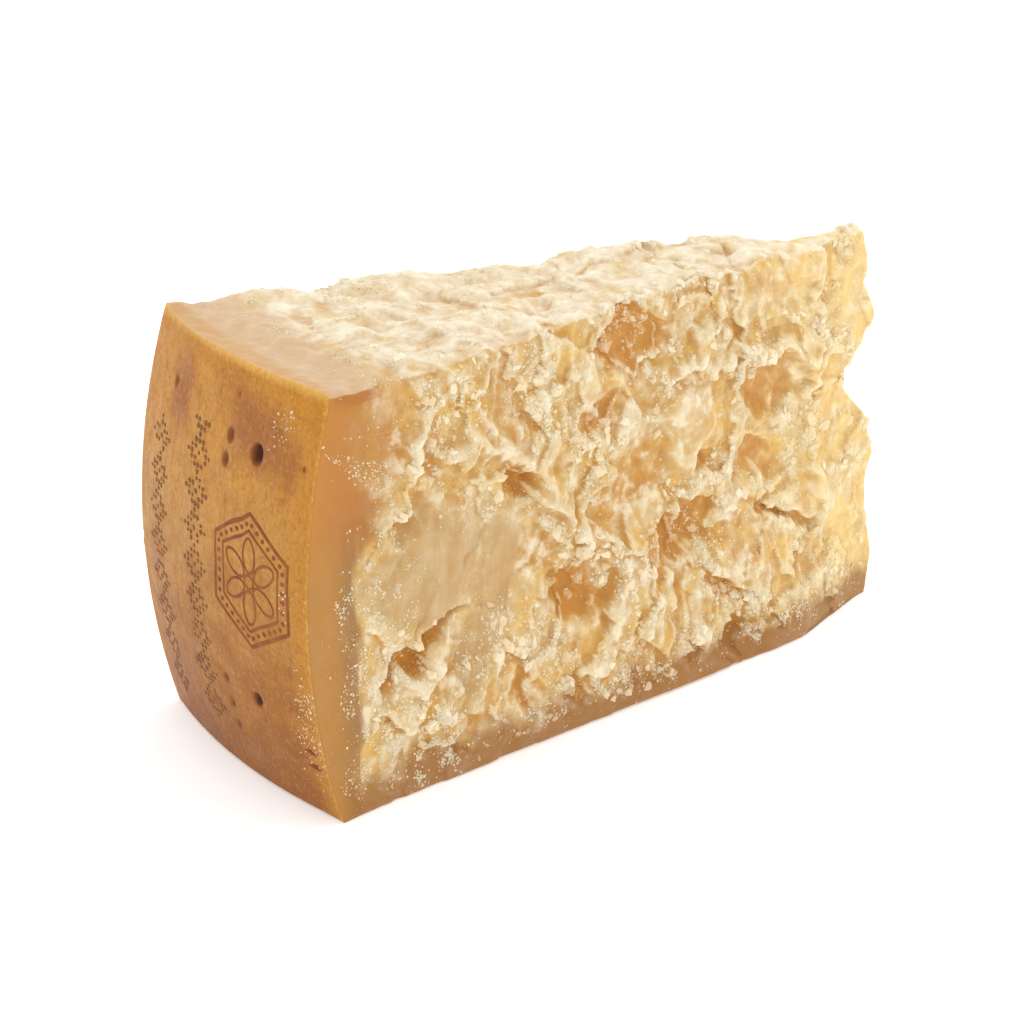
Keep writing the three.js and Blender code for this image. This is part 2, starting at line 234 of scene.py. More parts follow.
def cells_of_paste(place, size, draw, steepness=1.5):
    """Space is split into rough cells. Gives each point the height of its cell's tilted facet, its
    squared distance from the cell's middle, and a number of its cell's own."""
    spot = place / size
    home = np.floor(spot)
    nearest = np.full(spot.shape[:-1], np.inf)
    rise = np.zeros(spot.shape[:-1])
    own = np.zeros(spot.shape[:-1])
    for step in itertools.product((-1.0, 0.0, 1.0), repeat=3):
        cell = home + np.array(step)
        seed = np.stack([cell_number(cell, draw + n) for n in range(3)], axis=-1)
        offset = spot - cell - 0.15 - 0.7 * seed
        distance = (offset ** 2).sum(axis=-1)
        closer = distance < nearest
        if not closer.any():
            continue
        cell, offset = cell[closer], offset[closer]
        tilt = np.stack([cell_number(cell, draw + 4 + n) for n in range(3)], axis=-1) * 2.0 - 1.0
        nearest[closer] = distance[closer]
        rise[closer] = 2.0 * cell_number(cell, draw + 3) - 1.0 + steepness * (offset * tilt).sum(axis=-1)
        own[closer] = cell_number(cell, draw + 7)
    return rise, nearest, own


def facet_rise(place, size, draw, steepness=1.5):
    return cells_of_paste(place, size, draw, steepness)[0]


def granule_rise(place, size, draw):
    """Rounded grains of curd, packed side by side."""
    level, distance, _ = cells_of_paste(place, size, draw)
    return 0.45 - distance + 0.35 * level


def wander(place, fine):
    """How far the outlines of the large crags stray, and how the fine ones crumble besides."""
    x, y, z = np.moveaxis(place, -1, 0)
    stray = 1.6 * np.stack([
        np.sin(z / 7.3 + 1.7 * np.sin(y / 9.1 + x / 17.0)),
        np.sin(x / 8.9 + 1.5 * np.sin(z / 11.3)),
        np.sin(x / 6.7 + 1.9 * np.sin(z / 8.1 + y / 13.0)),
    ], axis=-1)
    if fine:
        stray = stray + jag(jag(jag(place, 24.0, 2.6), 9.5, 2.0), 3.6, 0.5) - place
    return stray


def ripple(place, length, draw):
    """A cheap smooth noise from -1 to 1, of about that length."""
    x, y, z = np.moveaxis(place, -1, 0)
    k = 2.0 * math.pi / length
    bend = 1.3 * np.sin(k * 0.61 * (z - 0.4 * x) + draw)
    other_bend = 1.7 * np.sin(k * 0.53 * (x + 0.5 * y) + 2.0 * draw)
    one = np.sin(k * (0.8 * x + 0.45 * y + 0.3 * z) + bend + 2.1 * draw)
    two = np.sin(k * (0.35 * x - 0.7 * y + 0.85 * z) + other_bend + draw)
    return 0.5 * (one + two)


def jag(place, length, reach):
    """Broken edges of flakes wander by reach over about that length."""
    return place + reach * np.stack([ripple(place, length, 3.1 + n) for n in range(3)], axis=-1)


def foot_calm(z):
    return 0.35 + 0.65 * smooth(4.0, FOOT, z)


def near_band(z):
    """Width of the smooth paste under the rind on the near face."""
    return mix(8.0, 21.0, smooth(70.0, 96.0, z))


PLATE = 6.8                          # large and small chips that stand off the smooth paste
CHIP = 3.3
CHIP_DRAW = 31


def torn_edges(place):
    return jag(jag(place, 9.0, 1.0), 2.9, 0.55)


def crowding(place, draw):
    """Where chips and crumbs of curd crowd together, from 0 to 1."""
    return smooth(-0.5, 0.8, ripple(place, 33.0, draw + 2.0) + 0.5 * ripple(place, 13.0, draw))


def standing(place, size, draw, share):
    """Angular chips that stand off the smooth paste. share is how many of its cells do."""
    level, _, own = cells_of_paste(place, size, draw)
    return smooth(1.0 - share, 1.07 - share, own) * (1.0 + 0.55 * level)


def fine_crags(place, calm, draw):
    """Plates, chips and grit of the broken paste, finer than the solid holds."""
    edge = torn_edges(place)
    rough = 1.0 - calm
    crowd = crowding(place, draw)
    share = rough * (0.12 + 0.5 * crowd)
    plates = 0.45 * standing(edge, PLATE, draw, 0.7 * share)
    chips = 0.36 * standing(edge, CHIP, draw + CHIP_DRAW, share)
    grains = 0.17 * granule_rise(jag(place, 4.3, 0.5), 1.8, draw + 57) * (0.4 + 0.6 * crowd)
    curds = 0.5 * granule_rise(jag(jag(place, 9.0, 1.2), 3.1, 0.4), 4.2, draw + 63) * (0.25 + 0.75 * crowd)
    return 0.6 * (plates + chips) + (grains + curds) * rough


def strands(place, pitch, draw):
    """Ridges of torn paste that lean down toward the rind: 0 in the furrows, 1 on the ridges."""
    x, _, z = np.moveaxis(jag(jag(place, 27.0, 4.5), 8.0, 1.2), -1, 0)
    return 1.0 - np.abs(np.sin(math.pi * (x - 0.45 * z) / pitch + draw))


def facet_tone(place, draw):
    """Each facet of the paste is a little paler or deeper than the next: a number from 0 to 1."""
    edge = torn_edges(place)
    return 0.5 * (cells_of_paste(edge, PLATE, draw)[2] + cells_of_paste(edge, CHIP, draw + CHIP_DRAW)[2])


NEAR_DRAW, FAR_DRAW, TOP_DRAW = 41, 71, 91


def near_relief(place, fine):
    x, y, z = np.moveaxis(place, -1, 0)
    shift = wander(place, fine)
    u, v = x + shift[..., 0], z + shift[..., 2]
    forms = forms_rise(NEAR_FORMS, NEAR_CLEFTS, u, v, fine)
    facets = 2.3 * facet_rise(np.stack([u, y, v * 0.8], axis=-1), 14.0, 1)
    band = near_band(z)
    rough = smooth(band - 2.0, band + 6.0, x) * foot_calm(z)
    spread = 9.5 * smooth(-20.0, 190.0, x) * (1.0 - smooth(172.0, 226.0, x)) * (1.0 - smooth(0.0, 62.0, z))
    rise = (forms + facets) * rough + spread
    if fine:
        calm = patches(NEAR_CALM, u, v, 2.2)
        rise = rise - ((0.55 + 0.3 * calm) * facets + 0.35 * np.minimum(forms, 0.0)) * rough
        rise = rise + 0.2 * calm * ripple(place * (1.0, 1.0, 0.3), 8.0, 1.3)
        ribs = patches(NEAR_RIBS, u, v) * (1.0 - calm)
        sway = 2.0 * np.sin(z / 9.0) + 1.4 * np.sin(z / 4.1 + x / 11.0)
        rib = 1.0 - np.abs(np.sin(math.pi * (x + sway) / RIB_PITCH))
        start = smooth(band - 1.0, band + 5.0, x) * smooth(3.0, 10.0, z)
        crags = fine_crags(place, calm, NEAR_DRAW) * (1.0 - 0.35 * ribs)
        flow = (1.0 - calm) * (1.0 - ribs) * (1.0 - 0.7 * crowding(place, NEAR_DRAW))
        strand = 0.5 * flow * (strands(place, 9.0, 0.6) - 0.5)
        rise = rise + start * (crags + 0.8 * ribs * (rib - 0.4) + strand)
    return rise


def far_relief(place, fine):
    _, y, z = np.moveaxis(place, -1, 0)
    along = along_far_face(place)
    shift = wander(place, fine)
    u, v = along + shift[..., 1], z + shift[..., 2]
    forms = forms_rise(FAR_FORMS, FAR_CLEFTS, u, v, fine)
    facets = 2.3 * facet_rise(np.stack([u, y, v * 0.8], axis=-1), 14.0, 11)
    rise = (forms + facets) * smooth(7.0, 16.0, along) * foot_calm(z)
    if fine:
        calm = smooth(0.25, 0.6, ripple(place, 44.0, 1.7))
        less = (0.4 + 0.3 * calm) * facets + 0.3 * np.minimum(forms, 0.0)
        rise = rise - less * smooth(7.0, 16.0, along) * foot_calm(z)
        flow = 0.8 * (1.0 - calm) * (1.0 - 0.7 * crowding(place, FAR_DRAW)) * (strands(place, 9.5, 2.0) - 0.5)
        start = smooth(8.0, 15.0, along) * smooth(3.0, 10.0, z)
        rise = rise + start * (fine_crags(place, calm, FAR_DRAW) + flow)
    return rise


def top_relief(place, fine):
    x, y, z = np.moveaxis(place, -1, 0)
    shift = wander(place, fine)
    u, v = x + shift[..., 1], y + shift[..., 0]
    forms = sum(form_rise(form, u, v, fine) for form in TOP_FORMS)
    start = smooth(19.0, 28.0, x - 0.1 * y)
    facets = 1.2 * facet_rise(np.stack([u, v * 0.9, z], axis=-1), 13.0, 21) * start
    if not fine:
        return forms + facets
    calm = 0.6 * smooth(-0.3, 0.5, ripple(place, 38.0, 0.4))
    scrape = 0.12 * ripple(place * (2.6, 0.35, 1.0), 9.0, 5.0)
    folds = 0.8 * ripple(jag(jag(place, 23.0, 4.0), 9.0, 1.6) * (1.0, 0.55, 1.0), 12.0, 2.4)
    crags = 0.9 * fine_crags(place, calm, TOP_DRAW)
    return forms + start * (0.9 * facets + folds + crags) + scrape * (1.0 - start)


def wedge_place(a, b, c):
    """The smooth wedge: a from the rind to the point, b from near to far, c from foot to top."""
    z = c * HEIGHT
    sag = 4.0 * RIND_SAG * b * (1.0 - b)
    depth, middle, half = (mix(near, far, b) for near, far in zip(BARREL_NEAR, BARREL_FAR))
    bulge = depth * (1.0 - ((z - middle) / half) ** 2)
    facing = b * WEDGE_ANGLE
    rind_x = b * FAR_CORNER[0] - sag * FAR_CORNER[1] / RIND_WIDTH - bulge * np.cos(facing)
    rind_y = b * FAR_CORNER[1] + sag * FAR_CORNER[0] / RIND_WIDTH + bulge * np.sin(facing)
    notches = sum(reach * np.exp(-1.4 * ((z - height) / half_height) ** 2)
                  for _, height, half_height, reach in POINT_FORMS)
    point_x = POINT_REACH - POINT_LEAN * c + notches - POINT_SLANT * b
    return np.stack([mix(rind_x, point_x, a), mix(rind_y, POINT_WIDTH * b, a), z], axis=-1)


NEAR_OUT = np.array([0.0, -1.0, 0.0])
FAR_OUT = np.array([math.sin(WEDGE_ANGLE), math.cos(WEDGE_ANGLE), 0.0])
TOP_OUT = np.array([0.0, 0.0, 1.0])


def edge_share(distance):
    return np.maximum(0.0, 1.0 - distance / EDGE_REACH) ** 2


def held_back(rise, x):
    """Hollows are shallower toward the thin point, where the two faces come close."""
    return np.where(rise < 0, rise * mix(0.25, 1.0, smooth(0.0, 60.0, POINT_REACH - x)), rise)


def relief_where(share, relief, place, fine):
    """A side's relief, worked out only for the points that it reaches."""
    rise = np.zeros(len(place))
    reached = share > 0
    rise[reached] = held_back(relief(place[reached], fine), place[reached, 0])
    return rise


def cragged_place(spots, fine):
    """Places of the chunk's points, and the rise of its near face, far face and top there."""
    a, b, c = spots.T
    place = wedge_place(a, b, c)
    thickness = mix(FAR_CORNER[1], POINT_WIDTH, a)
    on_near = edge_share(b * thickness)
    on_far = edge_share((1.0 - b) * thickness)
    on_top = edge_share((1.0 - c) * HEIGHT)
    near = on_near * relief_where(on_near, near_relief, place, fine)
    far = on_far * relief_where(on_far, far_relief, place, fine)
    top = on_top * relief_where(on_top, top_relief, place, fine)
    hang = SAG_OF_CRAGS * smooth(0.0, FOOT, place[:, 2]) * (1.0 - on_top)
    worn = EDGE_WEAR * on_top
    moved = (place
             + (near - worn * on_near)[:, None] * NEAR_OUT
             + (far - worn * on_far)[:, None] * FAR_OUT
             + (top - worn * (on_near + on_far) - hang * (near + far))[:, None] * TOP_OUT)
    moved[c == 0, 2] = 0.0
    return moved, near, far, top


def box_spots(cells):
    """The points of a box of cells that lie on its walls and its top."""
    along, across, up = (np.linspace(0.0, 1.0, n + 1) for n in cells)
    every = np.stack(np.meshgrid(along, across, up, indexing="ij"), axis=-1).reshape(-1, 3)
    a, b, c = every.T
    return every[(a == 0) | (a == 1) | (b == 0) | (b == 1) | (c == 1)]


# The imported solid's origin is under the middle of its box, so its plan middle is taken off here too.
coarse = cragged_place(box_spots(SOLID_CELLS), fine=False)[0]
LAYOUT_MIDDLE = np.append((coarse.min(axis=0) + coarse.max(axis=0))[:2] / 2.0, 0.0)


def join_things(things, name):
    """Joins things into the first of them, and names it."""
    bpy.ops.object.select_all(action="DESELECT")
    for thing in things:
        thing.select_set(True)
    bpy.context.view_layer.objects.active = things[0]
    bpy.ops.object.join()
    things[0].name = things[0].data.name = name
    return things[0]


def values_of(data, key, width=1, kind=float):
    """A value or a vector of every element of some mesh data."""
    values = np.empty(len(data) * width, dtype=kind)
    data.foreach_get(key, values)
    return values.reshape(-1, width) if width > 1 else values


# The box of cells: a grid for each wall and for the top, merged along their edges and closed below.
SIDES = [
    # middle, turn about x, turn about z, cells
    ((0.5, 0.0, 0.5), (math.pi / 2, 0.0, 0.0), (FINE_CELLS[0], FINE_CELLS[2])),
    ((0.5, 1.0, 0.5), (math.pi / 2, 0.0, math.pi), (FINE_CELLS[0], FINE_CELLS[2])),
    ((0.0, 0.5, 0.5), (math.pi / 2, 0.0, -math.pi / 2), (FINE_CELLS[1], FINE_CELLS[2])),
    ((1.0, 0.5, 0.5), (math.pi / 2, 0.0, math.pi / 2), (FINE_CELLS[1], FINE_CELLS[2])),
    ((0.5, 0.5, 1.0), (0.0, 0.0, 0.0), (FINE_CELLS[0], FINE_CELLS[1])),
]
sides = []
for middle, turn, (columns, rows) in SIDES:
    bpy.ops.mesh.primitive_grid_add(x_subdivisions=columns, y_subdivisions=rows, size=1.0,
                                    location=middle, rotation=turn)
    sides.append(bpy.context.object)
chunk = join_things(sides, "cheese_body")
bpy.ops.object.transform_apply(location=True, rotation=True, scale=True)
bpy.ops.object.mode_set(mode="EDIT")
bpy.ops.mesh.select_all(action="SELECT")
bpy.ops.mesh.remove_doubles(threshold=0.0005)
bpy.ops.mesh.select_all(action="DESELECT")
bpy.ops.mesh.select_non_manifold()
bpy.ops.mesh.edge_face_add()
bpy.ops.mesh.quads_convert_to_tris()
bpy.ops.mesh.select_all(action="SELECT")
bpy.ops.mesh.normals_make_consistent(inside=False)
bpy.ops.object.mode_set(mode="OBJECT")

spots = np.round(values_of(chunk.data.vertices, "co", 3) * FINE_CELLS) / FINE_CELLS
places, near_rise, far_rise, top_rise = cragged_place(spots, fine=True)


def rind_dip(place):
    """How far the wheel's side, which is not quite even, dips under its barrel form."""
    uneven = 0.35 * ripple(place, 47.0, 2.2) + 0.12 * ripple(place, 13.0, 0.9)
    return 0.5 * (0.47 - uneven)


# Pits were pressed and eaten into the rind: how far across it from the near edge (a share), height,
# half width, half height and depth of each. The rind's colour is darker in and around each pit, darkest
# in the deepest.
RIND_PITS = [
    (0.774, 109.2, 1.0, 2.0, 0.9), (0.400, 104.8, 1.5, 2.3, 1.0), (0.408, 98.0, 1.5, 2.3, 1.0),
    (0.260, 103.3, 2.3, 3.0, 2.6), (0.394, 116.0, 0.7, 0.9, 0.5), (0.436, 32.0, 1.2, 1.7, 0.9),
    (0.432, 24.2, 1.3, 1.9, 1.0), (0.272, 31.2, 1.8, 2.2, 1.8), (0.426, 17.0, 1.1, 1.6, 0.8),
    (0.060, 22.0, 2.2, 0.9, 0.9), (0.054, 17.2, 2.4, 0.9, 0.9), (0.056, 104.5, 0.8, 0.9, 0.6),
    (0.112, 34.0, 0.6, 0.8, 0.5), (0.250, 25.2, 0.6, 0.8, 0.5), (0.818, 102.3, 0.5, 0.8, 0.4),
]
RIND_EDGE = 0.03                     # share of the rind's width and height that keeps its form
on_rind = spots[:, 0] == 0
across = spots[:, 1] * RIND_WIDTH
pit_darkening = np.zeros(len(spots))
dent = np.zeros(len(spots))
for share, height, half_width, half_height, depth in RIND_PITS:
    away = np.hypot((across - share * RIND_WIDTH) / half_width, (places[:, 2] - height) / half_height)
    dent = np.maximum(dent, on_rind * depth * (1.0 - smooth(0.35, 1.1, away)))
    pit_darkening = np.maximum(pit_darkening, on_rind * (1.0 - smooth(0.7, 1.45, away)) * min(1.0, 0.45 + 0.3 * depth))
inner = on_rind
for from_edge in (spots[:, 1], 1.0 - spots[:, 1], spots[:, 2], 1.0 - spots[:, 2]):
    inner = inner * smooth(0.0, RIND_EDGE, from_edge)
facing = spots[:, 1] * WEDGE_ANGLE
inward = np.stack([np.cos(facing), -np.sin(facing), np.zeros(len(spots))], axis=-1)
places = places + ((dent + rind_dip(places)) * inner)[:, None] * inward


def blurred(field, reach):
    """A field of rises, softened over that many cells each way."""
    taps = np.arange(-int(3 * reach), int(3 * reach) + 1)
    weights = np.exp(-0.5 * (taps / reach) ** 2)
    weights /= weights.sum()
    for axis in (0, 1):
        count = field.shape[axis]
        padding = [(0, 0), (0, 0)]
        padding[axis] = (-taps[0], taps[-1])
        wide = np.pad(field, padding, mode="edge")
        field = sum(weight * np.take(wide, range(start, start + count), axis=axis)
                    for start, weight in enumerate(weights))
    return field


def lowness(member, first, second, rise):
    """How far each point of one side lies under the mean of its surroundings: wide, middling, near."""
    row = np.rint(spots[member, first] * FINE_CELLS[first]).astype(int)
    column = np.rint(spots[member, second] * FINE_CELLS[second]).astype(int)
    field = np.zeros((FINE_CELLS[first] + 1, FINE_CELLS[second] + 1))
    field[row, column] = rise[member]
    return [(blurred(field, reach) - field)[row, column] for reach in (22.0, 7.0, 2.5)]


# hollow, dip and crest say how far each point lies under or over its wide, middling and near surroundings;
# the paste's colour uses them to paint shade into hollows and light onto ridges.
hollow, dip, crest, crowd = np.zeros((4, len(spots)))
tone = np.full(len(spots), 0.5)
unbroken = wedge_place(*spots.T)
for member, first, second, rise, draw in (
    (spots[:, 1] == 0, 0, 2, near_rise, NEAR_DRAW),
    (spots[:, 1] == 1, 0, 2, far_rise, FAR_DRAW),
    (spots[:, 2] == 1, 0, 1, top_rise, TOP_DRAW),
):
    wide, middling, close = lowness(member, first, second, rise)
    hollow[member] = wide
    dip[member] = middling
    crest[member] = -close
    tone[member] = facet_tone(unbroken[member], draw)
    crowd[member] = crowding(unbroken[member], draw)

# Zones of the surface, each from 0 to 1: the smooth band of paste under the rind, the band above the
# foot, the paste toward the point, which is painted paler and yellower as painted light, the torn
# paste, and where white curd dust and crumbs gather.
x, y, z = places.T
on_near, on_far, on_top = spots[:, 1] == 0, spots[:, 1] == 1, spots[:, 2] == 1
along_far = along_far_face(places)
strayed = jag(jag(unbroken, 24.0, 3.0), 7.0, 1.6)
depth_in = np.where(on_near, x, np.where(on_far, along_far, x - 0.16 * y))
depth_in = depth_in + 0.7 * (strayed - unbroken)[:, 0] * smooth(3.0, 9.0, depth_in)
band_width = np.where(on_near, near_band(z), np.where(on_far, 13.0, 22.0))
band = 1.0 - smooth(0.5, 1.1, depth_in / band_width)
foot = (1.0 - smooth(5.0, 17.0, z + 0.8 * (strayed - unbroken)[:, 2])) * ~on_rind
edging = (1.0 - smooth(0.3, 3.2, depth_in)) * ~on_rind
# Painted light: the paste is made paler and yellower toward the point.
lit_point = smooth(140.0, 215.0, x)
clear = 1.0 - patches(NEAR_CALM, strayed[:, 0], strayed[:, 2], fade=1.6)
past_band = smooth(near_band(z) - 3.0, near_band(z) + 5.0, strayed[:, 0])
torn = np.where(on_near, past_band * (0.06 + 0.94 * clear), 0.0)
torn = np.where(on_far, smooth(11.0, 18.0, along_far), torn) * smooth(3.0, 12.0, strayed[:, 2])
torn = np.where(on_top & ~on_near & ~on_far, 0.4 * smooth(17.0, 26.0, strayed[:, 0] - 0.1 * y), torn)
torn = np.where(spots[:, 0] == 1, 0.6, torn)
slab = patches([(33, 67, 18, 14, 0), (58, 62, 7, 12, 0), (49, 40, 5, 14, -30)],
               strayed[:, 0], strayed[:, 2], fade=1.7) * on_near
cream = patches([(136, 82, 9, 11, 0), (174, 116, 14, 8, 0)],
                strayed[:, 0], strayed[:, 2], fade=1.7) * on_near

# How deep each point of the broken faces lies in a hollow or a cleft, from 0 to 1. The paste is coloured
# deeper orange there, as painted shade.
stray = wander(unbroken, fine=True)
sunk = np.zeros(len(spots))
for member, forms, clefts, along in (
    (on_near, NEAR_FORMS, NEAR_CLEFTS, unbroken[:, 0] + stray[:, 0]),
    (on_far, FAR_FORMS, FAR_CLEFTS, along_far_face(unbroken) + stray[:, 1]),
):
    hollows = [form for form in forms if form[6] < 0]
    depth = -forms_rise(hollows, clefts, along[member], (unbroken + stray)[member, 2], fine=True)
    sunk[member] = smooth(1.0, 7.0, depth)


def spread_round(field, width):
    return np.exp(-(field / width) ** 2)


border = spread_round(x - near_band(z) + 1.0 + 3.5 * ripple(places, 14.0, 1.1), 5.0) * on_near
border = border * (1.0 - 0.85 * smooth(74.0, 96.0, z))
streak = spread_round(x - 0.16 * y - 16.0 + 1.5 * ripple(places, 17.0, 6.0), 3.2) * on_top
low_border = spread_round(z - 11.0 + 4.0 * ripple(places, 19.0, 2.6), 6.0) * on_near * smooth(4.0, 16.0, x)
low_corner = patches([(24, 16, 15, 9, -15), (14, 60, 9, 28, 0)], x, z, fade=1.8) * on_near
drifts = smooth(-0.2, 0.6, ripple(places, 11.0, 7.7) + 0.5 * ripple(places, 5.0, 3.3))
clumps = cells_of_paste(jag(places, 5.0, 0.8), 2.4, 5)[2] ** 5
bare = on_near * (1.0 - smooth(0.3, 0.9, x / near_band(z))) * smooth(60.0, 85.0, z)
frost = (border + 0.7 * streak + 0.9 * low_border + low_corner) * (0.06 + 0.94 * drifts)
dust = 0.5 * torn * crowd * (0.3 + smooth(0.0, 0.5, crest))
powder = np.clip(frost + dust + 0.2 * on_top * torn * drifts, 0.0, 1.0) * (0.03 + 2.4 * clumps)
powder = powder * (1.0 - 0.85 * bare) * (1.0 - 0.25 * band * on_near) * (1.0 - 0.45 * foot)

# The rind's own zones: stains, the golden strips along its edges, white scabs and its pale rim.
RIND_STAINS = [(24, 109, 11, 7, 20), (9, 103, 2.2, 6, 5), (38, 119, 9, 3, 0), (66, 112, 5, 11, 0)]
stain = patches(RIND_STAINS, across, z, fade=1.9) * on_rind
gold = np.maximum(1.0 - smooth(1.0, 11.0, across), 1.0 - smooth(2.0, 15.0, HEIGHT - z)) * on_rind
gold = np.maximum(gold, 0.7 * (1.0 - smooth(1.0, 8.0, RIND_WIDTH - across)) * on_rind)
RIND_SCABS = [(15.5, 112.5, 2.6, 4.0, 10), (4.0, 30.0, 3.0, 12.0, 0), (8.0, 68.0, 2.0, 3.0, 0)]
powder = np.maximum(powder, 0.7 * patches(RIND_SCABS, across, z, fade=2.0) * on_rind * (0.1 + clumps))
rose = np.where(on_top, band, 0.0)
band = np.where(on_top, 0.25 * band, band)
amber = band * smooth(66.0, 100.0, z) * on_near
plateau = on_top * smooth(18.0, 28.0, x)
rim = np.maximum(0.6 - across / 5.0, 1.0 - (HEIGHT - z) / 4.0).clip(0.0, 1.0) * on_rind

ZONES = {"hollow": hollow, "dip": dip, "crest": crest, "crowd": crowd, "band": band, "amber": amber,
         "rose": rose, "plateau": plateau, "foot": foot, "lit_point": lit_point, "torn": torn, "powder": powder,
         "pit_darkening": pit_darkening, "stain": stain, "gold": gold, "rim": rim, "tone": tone, "slab": slab,
         "edging": edging, "sunk": sunk, "pale": 0.3 * cream}


def add_zone(mesh, name, values):
    mesh.attributes.new(name, "FLOAT", "POINT").data.foreach_set("value", values.astype(np.float32))


for name, values in ZONES.items():
    add_zone(chunk.data, name, values)

chunk.data.vertices.foreach_set("co", ((places - LAYOUT_MIDDLE) * MM).astype(np.float32).ravel())
chunk.data.update()

# Faces on the wheel's side are rind; every other face is paste.
corners = values_of(chunk.data.loops, "vertex_index", kind=np.int32)
starts = values_of(chunk.data.polygons, "loop_start", kind=np.int32)
face_is_rind = np.logical_and.reduceat(on_rind[corners], starts)

BODY_TRIANGLES = 194_000
triangles = sum(max(1, len(face.vertices) - 2) for face in chunk.data.polygons)


# Hard cheese paste: dense, slightly oily and translucent, so light sinks in and thin edges glow.
def linear(hex_colour):
    """An sRGB hex colour as linear red, green, blue and 1."""
    channels = [int(hex_colour[n:n + 2], 16) / 255.0 for n in (1, 3, 5)]
    return tuple(c / 12.92 if c <= 0.04045 else ((c + 0.055) / 1.055) ** 2.4 for c in channels) + (1.0,)


def add_node(tree, kind, inputs=None, out=0, stops=None, **settings):
    """Adds a node with its settings, gives each input a value or a link, and returns one output."""
    node = tree.nodes.new(kind)
    for name, value in settings.items():
        setattr(node, name, value)
    for name, value in (inputs or {}).items():
        if isinstance(value, bpy.types.NodeSocket):
            tree.links.new(value, node.inputs[name])
        else:
            node.inputs[name].default_value = value
    for number, (position, colour) in enumerate(stops or []):
        elements = node.color_ramp.elements
        element = elements[number] if number < 2 else elements.new(position)
        element.position, element.color = position, linear(colour)
    return node.outputs[out]


def cheese_finish(name, sizes, level_weights, level_start, stops, layers=(),
                  shine=(0.5, 0.6, 0.2), glow=0.0, glow_depth=(0.1, 0.1, 0.1), grit=()):
    """A cheese surface: a colour ramp read at a level, layers of colour over it, and grain in relief.

    sizes gives the grain sizes of its noises in mm. level_weights says how much each source adds to the
    level. Each layer is (source parts, start, full, strength, colour): it shows where the weighted sum
    of its parts passes from start to full. shine is the roughness from and to, then its strength, and
    glow is the share of light that sinks in, as deep as glow_depth in mm for red, green and blue. grit
    is each bump: source, height in mm, strength where the paste is whole, and how much stronger where
    it is torn."""
    material = bpy.data.materials.new(name)
    material.use_nodes = True
    tree = material.node_tree
    shader = tree.nodes["Principled BSDF"]
    where = add_node(tree, "ShaderNodeTexCoord", out="Object")
    upright = add_node(tree, "ShaderNodeMapping", {"Vector": where, "Scale": (1.0, 1.0, 0.1)})
    source = {zone: add_node(tree, "ShaderNodeAttribute", out="Fac", attribute_name=zone) for zone in ZONES}
    for label, size in sizes.items():
        source[label] = add_node(tree, "ShaderNodeTexNoise", {
            "Vector": upright if label == "fibres" else where,
            "Scale": 1.0 / (size * MM), "Detail": 3.0, "Roughness": 0.62})
    source["height"] = add_node(tree, "ShaderNodeSeparateXYZ", {0: where}, out="Z")
    specks = add_node(tree, "ShaderNodeTexVoronoi", {"Vector": where, "Scale": 1.0 / (1.7 * MM)})
    source["speck"] = add_node(tree, "ShaderNodeMath", {0: specks, 1: -3.0, 2: specks.node.outputs["Color"]},
                               operation="MULTIPLY_ADD")
    grains = add_node(tree, "ShaderNodeTexVoronoi", {"Vector": where, "Scale": 1.0 / (1.3 * MM)},
                      feature="SMOOTH_F1")
    source["grain"] = add_node(tree, "ShaderNodeMath", {0: 1.0, 1: grains}, operation="SUBTRACT")

    def weighted(parts, total=0.0):
        for label, weight in parts:
            total = add_node(tree, "ShaderNodeMath", {0: source[label], 1: weight, 2: total},
                             operation="MULTIPLY_ADD")
        return total

    colour = add_node(tree, "ShaderNodeValToRGB", {"Fac": weighted(level_weights, level_start)}, stops=stops)
    for parts, start, full, strength, over in layers:
        share = add_node(tree, "ShaderNodeMapRange", {
            "Value": weighted(parts), "From Min": start, "From Max": full, "To Max": strength})
        colour = add_node(tree, "ShaderNodeMixRGB", {"Fac": share, "Color1": colour, "Color2": linear(over)})
    tree.links.new(colour, shader.inputs["Base Color"])
    roughness = add_node(tree, "ShaderNodeMapRange", {
        "Value": source["patch"], "From Min": 0.3, "From Max": 0.7, "To Min": shine[0], "To Max": shine[1]})
    tree.links.new(roughness, shader.inputs["Roughness"])
    normal = None
    for label, height, whole, torn_more in grit:
        strength = weighted([("torn", torn_more)], whole)
        bump = {"Height": source[label], "Distance": height * MM, "Strength": strength}
        if normal:
            bump["Normal"] = normal
        normal = add_node(tree, "ShaderNodeBump", bump)
    if normal:
        tree.links.new(normal, shader.inputs["Normal"])
    shader.inputs["IOR"].default_value = 1.45
    shader.inputs["Specular IOR Level"].default_value = shine[2]
    shader.inputs["Subsurface Weight"].default_value = glow
    shader.inputs["Subsurface Radius"].default_value = glow_depth
    shader.inputs["Subsurface Scale"].default_value = MM
    return material


